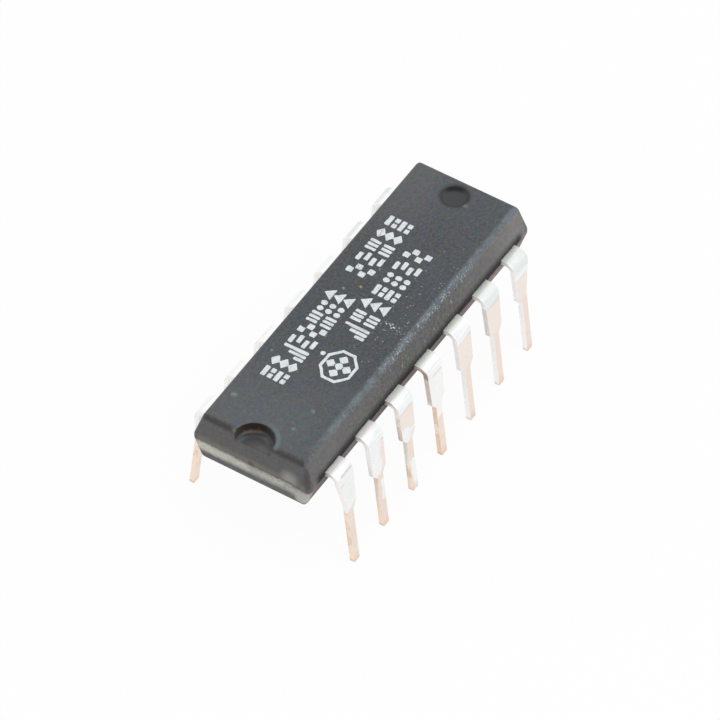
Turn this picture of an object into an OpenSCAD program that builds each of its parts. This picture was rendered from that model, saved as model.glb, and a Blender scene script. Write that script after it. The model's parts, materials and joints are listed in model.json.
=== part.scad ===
// Dual in-line integrated circuit, 14 leads, plastic body.
// Millimetres. +X runs along the lead rows, away from the notched end, and +Z is up.
// The origin is midway between the rows, on the plane that the lead tips stand on.

/* [Moulded body] */
// Length of the body along the lead rows
body_l = 19.05; // [18.6:0.05:19.6]
// Width of the body across the lead rows
body_w = 6.35; // [6.1:0.05:6.6]
// Height of the upper mould half, from the top of the lead frame to the top face
upper_h = 1.4; // [1.2:0.05:1.9]
// Height of the lower mould half, from the underside of the lead frame down
lower_h = 1.27; // [1.1:0.05:1.8]
// How far the upper half's long sides lean in by the top face
upper_side_lean = 0.42; // [0.2:0.02:0.6]
// How far the upper half's ends lean in by the top face
upper_end_lean = 0.24; // [0.1:0.02:0.4]
// How far the lower half's long sides lean in by the underside
lower_side_lean = 0.36; // [0.2:0.02:0.6]
// How far the lower half's ends lean in by the underside
lower_end_lean = 0.14; // [0.06:0.02:0.4]
// Radius of the rounded edges round the top face and the underside
edge_r = 0.16; // [0.08:0.02:0.24]

/* [Mould marks] */
// Radius of the half-round notch that marks the lead 1 end
notch_r = 1.0; // [0.7:0.05:1.2]
// Depth of the notch below the top face
notch_depth = 0.57; // [0.3:0.01:0.9]
// Radius of the round mark on the top face
dimple_r = 0.72; // [0.4:0.02:0.9]
// Depth of the round mark
dimple_depth = 0.2; // [0.1:0.02:0.4]
// Distance from the plain end of the body to the centre of the round mark
dimple_inset = 1.27; // [1.2:0.01:1.6]
// Distance of the round mark from the centre line
dimple_side = 0.15; // [0:0.05:0.5]
// Radius of the two ejector marks in the underside
ejector_r = 0.75; // [0.5:0.05:1]
// Depth of the ejector marks
ejector_depth = 0.12; // [0.05:0.01:0.3]
// Distance of the ejector marks from the middle of the body
ejector_x = 5.6; // [4:0.1:7]
// Width of the scar on the notched end, where the runner that fed the mould was broken off
gate_w = 5.6; // [3:0.1:5.8]
// Height of that scar
gate_h = 0.5; // [0.3:0.05:0.8]
// Depth of the scar behind the end of the lead frame's plane
gate_depth = 0.08; // [0.06:0.01:0.12]
// Distance of the scar below the lead frame
gate_drop = 0.05; // [0.04:0.01:0.1]

/* [Leads] */
// Distance from one lead to the next in a row
pitch = 2.54; // [2.5:0.01:2.58]
// Thickness of the lead frame
lead_t = 0.25; // [0.2:0.01:0.3]
// Height of the lead frame's top plane above the lead tips
lead_drop = 5.975; // [5.4:0.025:6.4]
// Distance between the outer faces of the two rows, at the top plane of the lead frame
row_span = 7.75; // [7.6:0.01:8.1]
// Angle at which the legs spread out from upright
splay = 6.4; // [2:0.2:10]
// Outer radius of the bend at the top of a leg
bend_r = 0.5; // [0.35:0.01:0.55]
// Width of a lead where it leaves the body
shoulder_w = 1.2; // [1.1:0.02:1.5]
// Width of the shoulder at its lower end
shoulder_low_w = 1.05; // [0.9:0.01:1.1]
// Depth of the shoulder's lower end below the lead frame's top plane
shoulder_drop = 2.4; // [2:0.05:2.6]
// Height of the slope from the shoulder to the narrow pin
neck_h = 0.35; // [0.2:0.05:0.6]
// Width of the narrow pin
pin_w = 0.46; // [0.38:0.01:0.56]
// Bevel on the corners of a pin's tip
tip_bevel = 0.05; // [0.02:0.01:0.1]
// Depth at which an end lead's outer edge begins to slope in
end_slope_top = 0.55; // [0.4:0.05:0.8]
// Depth at which an end lead's outer edge reaches the narrow pin
end_slope_low = 2.3; // [1.8:0.05:2.4]

/* [Inside the body] */
// How far a lead keeps its full width inside the body
anchor_l = 0.6; // [0.4:0.05:0.8]
// Width of the fingers that run in to the chip
finger_w = 0.36; // [0.3:0.01:0.4]
// Gap between the fingers' ends and the paddle
finger_gap = 0.3; // [0.2:0.02:0.4]
// Length of the paddle that carries the chip
paddle_l = 3.8; // [3.4:0.1:4.2]
// Width of the paddle
paddle_w = 2.4; // [2:0.1:2.6]
// Width of the bars that tie the paddle to the ends
tie_w = 0.3; // [0.2:0.02:0.34]
// Length of the silicon chip
die_l = 1.6; // [1.2:0.1:2]
// Width of the silicon chip
die_w = 1.3; // [1.2:0.1:1.6]
// Thickness of the silicon chip
die_t = 0.25; // [0.15:0.01:0.35]
// Thickness of the layer that bonds the chip to the paddle
attach_t = 0.03; // [0.02:0.01:0.06]
// How far that layer shows round the chip
attach_rim = 0.06; // [0.02:0.01:0.15]
// Thickness of a bond wire
wire_t = 0.03; // [0.02:0.005:0.04]
// Height of a wire's loop above the chip
wire_rise = 0.16; // [0.1:0.01:0.25]
// Distance of a wire's foot from the edge that it is bonded near
wire_inset = 0.1; // [0.06:0.01:0.15]

/* [Hidden] */
// Leads in each row; lead 1 is beside the notch and they run anticlockwise seen from above
row_pins = 7;
LEADS = [1 : 2 * row_pins];
// Clear length that a cutting shape runs past what it cuts
past = 1;
// Facets of round shapes
$fn = 64;

// Planes of the lead frame and of the body, above the tips
frame_top = lead_drop;
frame_low = frame_top - lead_t;
body_top = frame_top + upper_h;
body_low = frame_low - lower_h;
die_low = frame_top + attach_t;
die_top = die_low + die_t;

// The bend's centre, in a plane across the body, and the normal of the leg's outer face
bend_centre = [row_span / 2 - bend_r * tan(45 - splay / 2), frame_top - bend_r];
leg_normal = [cos(splay), sin(splay)];

// Where the fingers end: beside the paddle's long sides or beyond its ends
side_end = paddle_w / 2 + finger_gap;
outer_end = paddle_l / 2 + finger_gap;
// Distance of the fingers that end beside the long sides from the middle one
landing_side = 1.1;
// Distances from the centre line of the fingers that end beyond the paddle's ends
landing_near = 0.5;
landing_far = 1.0;
// Straight stretch at the inner end of a finger: beside the paddle and beyond its ends
side_run = 0.3;
end_run = 0.5;
// How far a finger runs straight in from its anchor before it slants, from the middle of a row out
straight_in = [0, 0.3, 0.35, 1.05];
// Reach of the end leads' slant along the body
end_slant = 2.3;

// Places of the leads and of their fingers
function row_index(n) = (n - 1) % row_pins - (row_pins - 1) / 2;
function direction(v) = v / norm(v);
function square_to(v) = [-v[1], v[0]];
function mitre(p, i) = let (
        a = direction(p[max(i, 1)] - p[max(i, 1) - 1]),
        b = direction(p[min(i, len(p) - 2) + 1] - p[min(i, len(p) - 2)]),
        m = square_to(direction(a + b))
    ) m / (m * square_to(a));

// Outline of a strip of width w along the points p
function strip(p, w) = concat(
    [for (i = [0 : len(p) - 1]) p[i] + mitre(p, i) * w / 2],
    [for (i = [len(p) - 1 : -1 : 0]) p[i] - mitre(p, i) * w / 2]
);

// Middle line of the finger that is k places from the middle of its row, from the anchor in
function finger_line(k) = let (
        x = k * pitch,
        root = body_w / 2 - anchor_l / 2,
        turn = body_w / 2 - anchor_l - straight_in[k]
    )
    k == 0 ? [[0, root], [0, side_end]] :
    k == 1 ? [[x, root], [x, turn], [landing_side, side_end + side_run], [landing_side, side_end]] :
    k == 2 ? [[x, root], [x, turn], [outer_end + end_run, landing_far], [outer_end, landing_far]] :
    [[x, root], [x, turn], [x - end_slant, landing_near], [outer_end, landing_near]];

// Where the wire of that finger stands on the chip and on the finger
function pad_point(k) =
    k == 0 ? [0, die_w / 2 - wire_inset] :
    k == 1 ? [die_l / 4, die_w / 2 - wire_inset] :
    [die_l / 2 - wire_inset, k == 2 ? die_w / 3 : die_w / 8];
function finger_point(k) =
    k < 2 ? [k * landing_side, side_end + wire_inset] :
    [outer_end + wire_inset, k == 2 ? landing_far : landing_near];

// Cross section through both mould halves: half widths at the top, the parting plane and the underside
module mould_section(top, mid, low) {
    difference() {
        polygon([
            [-top, body_top], [top, body_top], [mid, frame_top], [mid, frame_low],
            [low, body_low], [-low, body_low], [-mid, frame_low], [-mid, frame_top]
        ]);
        for (side = [0, 1]) mirror([side, 0]) {
            round_off([top, body_top], atan((mid - top) / upper_h));
            translate([0, body_top + body_low]) mirror([0, 1])
                round_off([low, body_top], atan((mid - low) / lower_h));
        }
    }
}

// What rounding with edge_r takes off the corner between a level edge and a side at this lean
module round_off(corner, lean) {
    centre = corner - [edge_r * tan(45 - lean / 2), edge_r];
    out = [cos(lean), sin(lean)];
    difference() {
        polygon([
            centre, centre + [0, edge_r], centre + [0, edge_r + past], corner + [past, past],
            centre + (edge_r + past) * out, centre + edge_r * out
        ]);
        translate(centre) circle(edge_r);
    }
}

// The epoxy block before the frame is cut out of it
module moulding() {
    difference() {
        intersection() {
            rotate([90, 0, 90]) linear_extrude(body_l + past, center = true)
                mould_section(body_w / 2 - upper_side_lean, body_w / 2, body_w / 2 - lower_side_lean);
            rotate([90, 0, 0]) linear_extrude(body_w + past, center = true)
                mould_section(body_l / 2 - upper_end_lean, body_l / 2, body_l / 2 - lower_end_lean);
        }
        translate([upper_end_lean - body_l / 2, 0, body_top - notch_depth])
            cylinder(h = notch_depth + past, r = notch_r);
        translate([body_l / 2 - dimple_inset, dimple_side, body_top - dimple_depth])
            cylinder(h = dimple_depth + past, r = dimple_r);
        for (x = [-ejector_x, ejector_x])
            translate([x, 0, body_low - past]) cylinder(h = ejector_depth + past, r = ejector_r);
        translate([-body_l / 2 - past, -gate_w / 2, frame_low - gate_drop - gate_h])
            cube([past + gate_depth, gate_w, gate_h]);
    }
}

// Turns a shape modelled for a row on the +Y side, at its place along X, into that of lead n
module place(n) {
    rotate([0, 0, n > row_pins ? 180 : 0]) mirror([0, 1, 0]) children();
}

// Turns a shape modelled for the +X half of a row into that of the half that index lies in
module towards(index) {
    mirror([index < 0 ? 1 : 0, 0, 0]) children();
}

// Everything inside the face that lies deep below the lead's outer face, from root out and down to foot
module inside_of_bend(deep, root, foot) {
    r = bend_r - deep;
    corner = bend_centre + [r * tan(45 - splay / 2), r];
    difference() {
        polygon([
            [root, corner[1]], corner,
            [corner[0] + (corner[1] - foot) * tan(splay), foot], [root, foot]
        ]);
        difference() {
            polygon([
                bend_centre, bend_centre + [0, r], bend_centre + [0, r + past], corner + [past, past],
                bend_centre + (r + past) * leg_normal, bend_centre + r * leg_normal
            ]);
            translate(bend_centre) circle(r);
        }
    }
}

// Half of a lead's outline seen from its own side: an inner edge with a notch, or a sloped end edge
module lead_edge(sloped) {
    neck_drop = shoulder_drop + neck_h;
    shoulder = sloped ?
        [[shoulder_w / 2, frame_top - end_slope_top], [pin_w / 2, frame_top - end_slope_low]] :
        [[shoulder_low_w / 2, frame_top - shoulder_drop], [pin_w / 2, frame_top - neck_drop]];
    polygon(concat(
        [[-pin_w / 4, frame_top + past], [shoulder_w / 2, frame_top + past], [shoulder_w / 2, frame_low]],
        shoulder,
        [[pin_w / 2, tip_bevel], [pin_w / 2 - tip_bevel, 0]],
        [[pin_w / 2 - tip_bevel, -past], [-pin_w / 4, -past]]
    ));
}

// One lead as stamped and bent: finger, anchor, shoulder and pin
module lead_metal(n) {
    index = row_index(n);
    last = (row_pins - 1) / 2;
    place(n) {
        translate([index * pitch, 0, 0]) intersection() {
            rotate([90, 0, 90]) linear_extrude(shoulder_w + past, center = true) difference() {
                inside_of_bend(0, body_w / 2 - anchor_l, 0);
                inside_of_bend(lead_t, 0, -past);
            }
            rotate([90, 0, 0]) linear_extrude(row_span + 2 * lead_drop, center = true) {
                lead_edge(index == last);
                mirror([1, 0]) lead_edge(index == -last);
            }
        }
        translate([0, 0, frame_low]) linear_extrude(lead_t)
            towards(index) polygon(strip(finger_line(abs(index)), finger_w));
    }
}

// The bond wire of lead n: a loop from the chip up, over and down to the finger
module wire_metal(n) {
    index = row_index(n);
    from = pad_point(abs(index));
    run = finger_point(abs(index)) - from;
    reach = norm(run);
    foot = wire_t;
    place(n) towards(index) translate([from[0], from[1], 0])
        rotate([0, 0, atan2(run[1], run[0])]) rotate([90, 0, 0]) linear_extrude(wire_t, center = true)
            difference() {
                polygon(strip([
                    [0, die_top - foot], [0, die_top + wire_rise], [reach / 2, die_top + wire_rise],
                    [reach, frame_top], [reach + foot, frame_top - foot]
                ], wire_t));
                translate([-past, frame_top - past]) square([reach + 2 * past, past]);
                translate([-past, frame_top]) square([past + wire_inset / 2, die_top - frame_top]);
            }
}

// The paddle and the two bars that hold it in the frame, cut off flush with the ends
module paddle_metal() {
    translate([0, 0, frame_low]) linear_extrude(lead_t) union() {
        square([paddle_l, paddle_w], center = true);
        square([body_l, tie_w], center = true);
    }
}

module slab(l, w, low, t) {
    translate([-l / 2, -w / 2, low]) cube([l, w, t]);
}

module bond_layer() {
    slab(die_l + 2 * attach_rim, die_w + 2 * attach_rim, frame_top, attach_t);
}

module chip() {
    slab(die_l, die_w, die_low, die_t);
}

module body() {
    color("dimgray") difference() {
        moulding();
        for (n = LEADS) {
            lead_metal(n);
            wire_metal(n);
        }
        paddle_metal();
        bond_layer();
        chip();
    }
}

module lead(n) {
    color("gainsboro") lead_metal(n);
}

module bond_wire(n) {
    color("gold") wire_metal(n);
}

module die_paddle() {
    color("silver") paddle_metal();
}

module die_attach() {
    color("lightgray") bond_layer();
}

module silicon_die() {
    color("slategray") chip();
}

body();
die_paddle();
die_attach();
silicon_die();
for (n = LEADS) {
    lead(n);
    bond_wire(n);
}
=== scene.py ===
# %% [markdown]
# # A 14-lead chip in a moulded dual in-line package
#
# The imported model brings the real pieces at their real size: a moulded body, fourteen leads, and the
# frame, chip and wires that the body hides. This lesson gives them their looks. The body and the leads
# are modelled again by hand, because their rounded edges catch the light, and the hidden pieces keep
# their own meshes and only get materials.

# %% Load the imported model
import json
import math

import bmesh
import bpy
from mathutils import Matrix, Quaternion, Vector

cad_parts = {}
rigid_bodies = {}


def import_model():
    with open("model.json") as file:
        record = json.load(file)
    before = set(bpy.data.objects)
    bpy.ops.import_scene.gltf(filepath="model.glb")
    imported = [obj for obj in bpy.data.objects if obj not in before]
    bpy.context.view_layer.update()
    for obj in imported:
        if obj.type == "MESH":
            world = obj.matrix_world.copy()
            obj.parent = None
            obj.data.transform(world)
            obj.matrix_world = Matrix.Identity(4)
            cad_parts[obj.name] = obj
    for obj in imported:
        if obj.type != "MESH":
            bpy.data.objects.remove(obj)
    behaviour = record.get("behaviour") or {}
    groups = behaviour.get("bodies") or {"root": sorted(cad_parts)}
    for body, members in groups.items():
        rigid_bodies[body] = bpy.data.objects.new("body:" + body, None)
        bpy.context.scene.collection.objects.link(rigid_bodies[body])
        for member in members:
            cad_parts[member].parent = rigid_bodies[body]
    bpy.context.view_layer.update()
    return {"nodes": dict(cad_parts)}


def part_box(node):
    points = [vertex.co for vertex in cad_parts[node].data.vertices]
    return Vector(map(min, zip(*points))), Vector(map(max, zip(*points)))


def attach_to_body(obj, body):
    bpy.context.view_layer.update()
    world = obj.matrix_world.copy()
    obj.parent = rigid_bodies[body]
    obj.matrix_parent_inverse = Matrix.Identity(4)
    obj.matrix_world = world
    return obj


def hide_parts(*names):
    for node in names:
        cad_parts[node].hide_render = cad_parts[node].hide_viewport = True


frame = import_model()
print("nodes in the frame:", len(frame["nodes"]))

# %% [markdown]
# ## Sizes
#
# The object is 19 mm long. With one unit for a metre, tools that merge or compare points can take two
# that lie a tenth of a millimetre apart for one. So each new piece is modelled with one unit for a
# millimetre and scaled to metres when it is finished. The main sizes are read from the frame. What a box
# can't tell, such as a lean or a bend, is named where it is used.

# %% Read the main sizes in millimetres
MM = 0.001


def corners(node):
    """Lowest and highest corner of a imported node, in millimetres."""
    return [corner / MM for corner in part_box(node)]


body_low_corner, body_high_corner = corners("body")
paddle_low_corner, paddle_high_corner = corners("die_paddle")
body_l = body_high_corner.x - body_low_corner.x
body_w = body_high_corner.y - body_low_corner.y
body_low, body_top = body_low_corner.z, body_high_corner.z
frame_low, frame_top = paddle_low_corner.z, paddle_high_corner.z
lead_t = frame_top - frame_low
print(f"body {body_l:.2f} x {body_w:.2f} mm, from {body_low:.3f} to {body_top:.3f}, frame at {frame_low:.3f}")

# %% [markdown]
# ## Working by hand in code
#
# Every new piece goes the same way: a primitive, edit mode, a few faces or edges picked, an operator.
# Someone at the screen picks with the mouse. Here two helpers do it, one that opens a piece with
# nothing selected and one that picks faces or edges by their place and direction. A face points a way
# when its normal's share of that way is more than FACING.

# %% Helpers that open a piece and pick parts of it
FACING = 0.9


def only(piece):
    """Leave this piece as the one that is selected and active."""
    bpy.ops.object.select_all(action="DESELECT")
    piece.select_set(True)
    bpy.context.view_layer.objects.active = piece


def start(name):
    """Name the primitive that was just added, put its size into its mesh and open it."""
    piece = bpy.context.object
    piece.name = name
    only(piece)
    bpy.ops.object.transform_apply(location=True, rotation=True, scale=True)
    bpy.ops.object.mode_set(mode="EDIT")
    bpy.ops.mesh.select_all(action="DESELECT")
    return piece


def pick(test, kind="FACE"):
    """Select the faces or edges whose middle and direction pass the test, and return how many."""
    bpy.ops.mesh.select_mode(type=kind)
    bpy.ops.mesh.select_all(action="DESELECT")
    mesh = bmesh.from_edit_mesh(bpy.context.object.data)
    found = 0
    for part in (mesh.faces if kind == "FACE" else mesh.edges):
        ends = [v.co for v in part.verts]
        middle = sum(ends, Vector()) / len(ends)
        way = part.normal if kind == "FACE" else (ends[1] - ends[0]).normalized()
        if test(middle, way):
            part.select_set(True)
            found += 1
    bmesh.update_edit_mesh(bpy.context.object.data)
    return found


def extrude(x=0, y=0, z=0):
    """Pull what is selected out by this much."""
    bpy.ops.mesh.extrude_region_move(TRANSFORM_OT_translate={"value": (x, y, z)})


def measure(piece):
    """Say how large a piece is and whether its mesh is closed."""
    mesh = bmesh.new()
    mesh.from_mesh(piece.data)
    gaps = sum(1 for edge in mesh.edges if len(edge.link_faces) != 2)
    volume = mesh.calc_volume(signed=True)
    print(f"{piece.name}: {len(mesh.faces)} faces, {gaps} open edges, volume {volume:.3f}")
    mesh.free()


def smooth(piece, angle):
    """Shade gentle edges smoothly while large flat faces stay flat."""
    only(piece)
    bpy.ops.object.shade_smooth_by_angle(angle=math.radians(angle))
    weighted = piece.modifiers.new("flat faces first", "WEIGHTED_NORMAL")
    weighted.keep_sharp = True
    bpy.ops.object.modifier_apply(modifier=weighted.name)


def to_metres(piece):
    """Scale a finished piece from its working unit to metres and put that into its mesh."""
    only(piece)
    piece.scale = (MM, MM, MM)
    bpy.ops.object.transform_apply(location=True, rotation=True, scale=True)


def attach(piece, slot, *nodes):
    """The piece rides with the part and stands for these nodes. The slot argument is not used."""
    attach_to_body(piece, "root")
    if nodes:
        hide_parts(*nodes)


# %% [markdown]
# ## The moulded body
#
# The real body is pressed from black epoxy between two mould halves that meet at the lead frame. Each
# half leans in so that it leaves its mould. It could be cut from a block, but two extrusions from the
# thin band between the halves give the same form, with its sides where the mould has them. The print
# on top is given its own thickness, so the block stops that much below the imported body's top.

# %% Extrude the two mould halves from the band between them
ink_t = 0.008
upper_side_lean, upper_end_lean = 0.42, 0.24
lower_side_lean, lower_end_lean = 0.36, 0.14
ink_low = body_top - ink_t

bpy.ops.mesh.primitive_cube_add(
    size=1, location=(0, 0, (frame_low + frame_top) / 2), scale=(body_l, body_w, lead_t)
)
body = start("moulded_body")
for way, height, side_lean, end_lean in (
    (1, ink_low - frame_top, upper_side_lean, upper_end_lean),
    (-1, frame_low - body_low, lower_side_lean, lower_end_lean),
):
    pick(lambda middle, normal: normal.z * way > FACING)
    extrude(z=way * height)
    leaned = (1 - 2 * end_lean / body_l, 1 - 2 * side_lean / body_w, 1)
    bpy.ops.transform.resize(value=leaned, center_override=(0, 0, 0))

# %% [markdown]
# Mould cavities have rounded inner edges, so a moulding has no sharp ones, apart from the rim where
# the halves close on the frame. One bevel rounds the edges round both flat faces and the corners
# together, which gives clean ball corners, and a much smaller one takes the edge off the rim.

# %% Round the edges
edge_round = 0.2
rim_round = 0.02


def on_rim(middle, way):
    """An edge that runs round the band between the halves."""
    return abs(way.z) < 0.1 and frame_low - 0.01 < middle.z < frame_top + 0.01


print("edges rounded:", pick(lambda middle, way: not on_rim(middle, way), "EDGE"))
bpy.ops.mesh.bevel(offset=edge_round, offset_type="OFFSET", segments=5, affect="EDGES")
print("rim edges softened:", pick(on_rim, "EDGE"))
bpy.ops.mesh.bevel(offset=rim_round, offset_type="OFFSET", segments=2, affect="EDGES")
bpy.ops.object.mode_set(mode="OBJECT")
measure(body)

# %% [markdown]
# ## Notch, round mark and ejector marks
#
# The notch that shows where lead 1 is, the round mark near the other end and the two marks that the
# ejector pins leave underneath are all dents that a round pin of the mould made. So each is cut with
# the shape of that pin: a cylinder with a rounded foot whose mouth flares, because the edge round a
# dent is soft. A boolean modifier takes the pin out of the body, as the mould did.

# %% Helpers that cut with a tool and shape a mould pin
ROUND = 96


def cut_with(tool):
    """Take a tool's shape out of the body and put the tool away."""
    only(body)
    cut = body.modifiers.new("cut", "BOOLEAN")
    cut.operation = "DIFFERENCE"
    cut.solver = "EXACT"
    cut.object = tool
    bpy.ops.object.modifier_apply(modifier=cut.name)
    bpy.data.objects.remove(tool)


def press_pin(x, y, foot, mouth, foot_r, mouth_r, toe, flare):
    """Cut a round dent: from its foot to its mouth it widens, its foot is rounded and its mouth flares."""
    up = 1 if mouth > foot else -1
    bpy.ops.mesh.primitive_cylinder_add(
        vertices=ROUND, radius=foot_r, depth=abs(mouth - foot) / 2, location=(x, y, foot + (mouth - foot) / 4)
    )
    pin = start("mould_pin")
    pick(lambda middle, normal: normal.z * up > FACING)
    bpy.ops.transform.translate(value=(0, 0, (mouth - foot) / 2 - up * flare))
    wall = mouth_r / foot_r
    bpy.ops.transform.resize(value=(wall, wall, 1), center_override=(x, y, 0))
    extrude(z=up * flare)
    lip = (mouth_r + flare) / mouth_r
    bpy.ops.transform.resize(value=(lip, lip, 1), center_override=(x, y, 0))
    extrude(z=up * mouth_r)
    pick(lambda middle, normal: normal.z * up < -FACING)
    bpy.ops.mesh.bevel(offset=toe, offset_type="OFFSET", segments=4, affect="EDGES")
    bpy.ops.object.mode_set(mode="OBJECT")
    cut_with(pin)


# %% Press the four dents
notch_r, notch_depth, notch_x = 1.0, 0.57, upper_end_lean - body_l / 2
mark_r, mark_depth, mark_x, mark_y = 0.72, 0.2, body_l / 2 - 1.27, 0.15
ejector_r, ejector_depth, ejector_x = 0.75, 0.12, 5.6
notch_floor = body_top - notch_depth

press_pin(
    notch_x, 0, foot=notch_floor, mouth=ink_low, foot_r=notch_r - 0.05, mouth_r=notch_r, toe=0.12, flare=0.05
)
press_pin(
    mark_x, mark_y, foot=body_top - mark_depth, mouth=ink_low, foot_r=mark_r - 0.22, mouth_r=mark_r - 0.04,
    toe=0.1, flare=0.04,
)
for side in (-1, 1):
    press_pin(
        side * ejector_x, 0, foot=body_low + ejector_depth, mouth=body_low, foot_r=ejector_r - 0.02,
        mouth_r=ejector_r, toe=0.03, flare=0.015,
    )

# %% [markdown]
# The front edge of the notch's floor runs out softly into the end face, with no corner to be seen. It
# only exists once the notch is cut, so it is picked on the cut body by its height and direction.

# %% Soften the front edge of the notch
front_round = 0.16


def on_front_edge(middle, way):
    """The edge that runs across at the height of the notch's floor."""
    return abs(way.y) > 0.99 and abs(middle.z - notch_floor) < 0.01 and middle.x < notch_x


only(body)
bpy.ops.object.mode_set(mode="EDIT")
found = pick(on_front_edge, "EDGE")
bpy.ops.mesh.bevel(offset=front_round, offset_type="OFFSET", segments=5, affect="EDGES")
bpy.ops.object.mode_set(mode="OBJECT")
print("notch edges softened:", found)

# %% [markdown]
# The compound is pressed in through a gate at the notched end, and when the frame is cut free the gate
# breaks off and leaves a low rough scar under the frame's plane. The tool that cuts it is a fine grid
# whose points are pushed about at random, always with the same seed, and then pulled out to a block.
# The bars that tied the paddle to the frame end flush with the body, each in a slot of its own.

# %% Break off the gate and open the slots of the tie bars
gate_w, gate_h, gate_depth, gate_drop = 5.6, 0.5, 0.08, 0.05
gate_rough, gate_cell = 0.05, 0.1
tie_w, tie_fit, slot_deep = 0.3, 0.002, 0.15
reach = 1.0

gate_z = frame_low - gate_drop - gate_h / 2
bpy.ops.mesh.primitive_grid_add(
    x_subdivisions=round(gate_h / gate_cell), y_subdivisions=round(gate_w / gate_cell), size=1,
    location=(gate_depth - gate_rough - body_l / 2, 0, gate_z), rotation=(0, math.radians(90), 0),
)
gate = start("gate_tool")
bpy.ops.mesh.select_all(action="SELECT")
bpy.ops.transform.resize(value=(1, gate_w, gate_h), center_override=(0, 0, gate_z))
bpy.ops.transform.vertex_random(offset=gate_rough, normal=0.8, seed=4)
bpy.ops.mesh.select_mode(type="EDGE")
bpy.ops.mesh.select_all(action="DESELECT")
bpy.ops.mesh.select_non_manifold()
bpy.ops.transform.translate(value=(-gate_rough, 0, 0))
bpy.ops.mesh.select_all(action="SELECT")
extrude(x=-reach)
bpy.ops.mesh.select_all(action="SELECT")
bpy.ops.mesh.normals_make_consistent(inside=False)
bpy.ops.object.mode_set(mode="OBJECT")
measure(gate)
cut_with(gate)
for side in (-1, 1):
    bpy.ops.mesh.primitive_cube_add(
        size=1, location=(side * body_l / 2, 0, (frame_low + frame_top) / 2),
        scale=(2 * slot_deep, tie_w + tie_fit, lead_t + tie_fit),
    )
    bar_slot = start("bar_slot_tool")
    bpy.ops.object.mode_set(mode="OBJECT")
    cut_with(bar_slot)
body_smooth = 32
smooth(body, body_smooth)
measure(body)
to_metres(body)
attach(body, "epoxy", "body")

# %% [markdown]
# ## The print
#
# The top is stamped in off-white ink, a few thousandths of a millimetre thick, with two lines of plain
# figures, such as bricks, slats, checks and dots, and a round emblem. A painted texture could do it, but
# drawing each figure as flat outlines in one open mesh and pulling the whole line up at the end gives
# real edges that catch the light, with very few faces.

# %% A helper that draws one flat figure
ink_stroke = 0.15
corner_round = 0.05
round_from = 10  # with this many sides an outline counts as round and needs no rounded corners


def figure(x, y, sides, width, height, hollow, turn):
    """Draw a regular outline, stretched to this width and height, as a ring of ink or filled."""
    middle = (x, y, ink_low)
    bpy.ops.mesh.select_all(action="DESELECT")
    bpy.ops.mesh.primitive_circle_add(
        vertices=sides, radius=0.5, fill_type="NGON", location=middle, rotation=(0, 0, math.radians(turn))
    )
    bpy.ops.transform.resize(value=(width, height, 1), center_override=middle)
    if sides < round_from and not hollow:
        bpy.ops.mesh.bevel(offset=corner_round, offset_type="OFFSET", segments=3, affect="VERTICES")
        bpy.ops.mesh.select_linked()
    if hollow:
        bpy.ops.mesh.select_linked()
        bpy.ops.mesh.inset(thickness=ink_stroke, depth=0)
        bpy.ops.mesh.delete(type="ONLY_FACE")


# %% [markdown]
# A figure is a few of those outlines round the middle of its cell: place, number of sides, width,
# height, whether it is hollow, and its turn. A rectangle is an outline of four sides that stands on one
# of them. Each line names its first cell, its pitch and its figures. Ink never has a clean edge, so the
# outlines get more points and those are moved about a little, and then pressed flat again before the
# line is pulled up to its thickness.

# %% Draw the figures and the lines of print
full_h = 1.3


def outlines(sides, width, height, *places):
    """Filled outlines of one size at these places in the cell."""
    return tuple((x, y, sides, width, height, False, 0) for x, y in places)


def blocks(width, height, *places):
    """Rectangles of one size at these places in the cell."""
    diagonal = math.sqrt(2)
    return tuple((x, y, 4, width * diagonal, height * diagonal, False, 45) for x, y in places)


figures = {
    "slats": blocks(0.5, 0.22, (-0.08, 0.54), (0.08, 0.18), (-0.08, -0.18), (0.08, -0.54)),
    "steps": (
        blocks(0.18, 0.5, (-0.25, -0.4)) + blocks(0.18, 0.9, (0, -0.2)) + blocks(0.18, full_h, (0.25, 0))
    ),
    "checks": blocks(0.32, 0.32, (-0.17, 0.49), (0.17, 0.17), (-0.17, -0.16), (0.17, -0.49)),
    "bricks": (
        blocks(0.64, 0.24, (0, 0.52)) + blocks(0.27, 0.24, (-0.18, 0.17), (0.18, 0.17))
        + blocks(0.64, 0.24, (0, -0.17)) + blocks(0.27, 0.24, (-0.18, -0.52), (0.18, -0.52))
    ),
    "fence": blocks(0.17, 0.57, *((x, y) for x in (-0.25, 0, 0.25) for y in (-0.37, 0.37))),
    "stack": outlines(4, 0.66, 0.5, (0, -0.46), (0, 0), (0, 0.46)),
    "wedges": outlines(3, 0.84, 0.64, (0, -0.5), (0, 0), (0, 0.5)),
    "dots": outlines(12, 0.3, 0.33, *((x, y) for x in (-0.19, 0.19) for y in (-0.45, 0, 0.45))),
    "emblem": (
        ((0, 0, 8, 2.1, 1.8, True, 22.5),) + outlines(14, 0.24, 0.24, (0.31, 1.04))
        + outlines(4, 0.54, 0.52, (0, 0), (-0.45, 0), (0.45, 0), (0, 0.42), (0, -0.42))
    ),
}
lines_of_print = {
    "upper_line_near": (
        -5.53, 1.26, 0.79, ("bricks", "stack", "steps", "slats", "checks", "fence", "dots", "wedges")
    ),
    "upper_line_far": (1.95, 1.36, 0.84, ("checks", "slats", "fence", "stack", "bricks")),
    "lower_line": (-1.35, -0.4, 0.91, ("steps", "fence", "wedges", "bricks", "dots", "slats", "checks")),
    "round_emblem": (-3.55, -0.93, 0, ("emblem",)),
}
ink_wobble = 0.022
marks_of_ink = []
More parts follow.
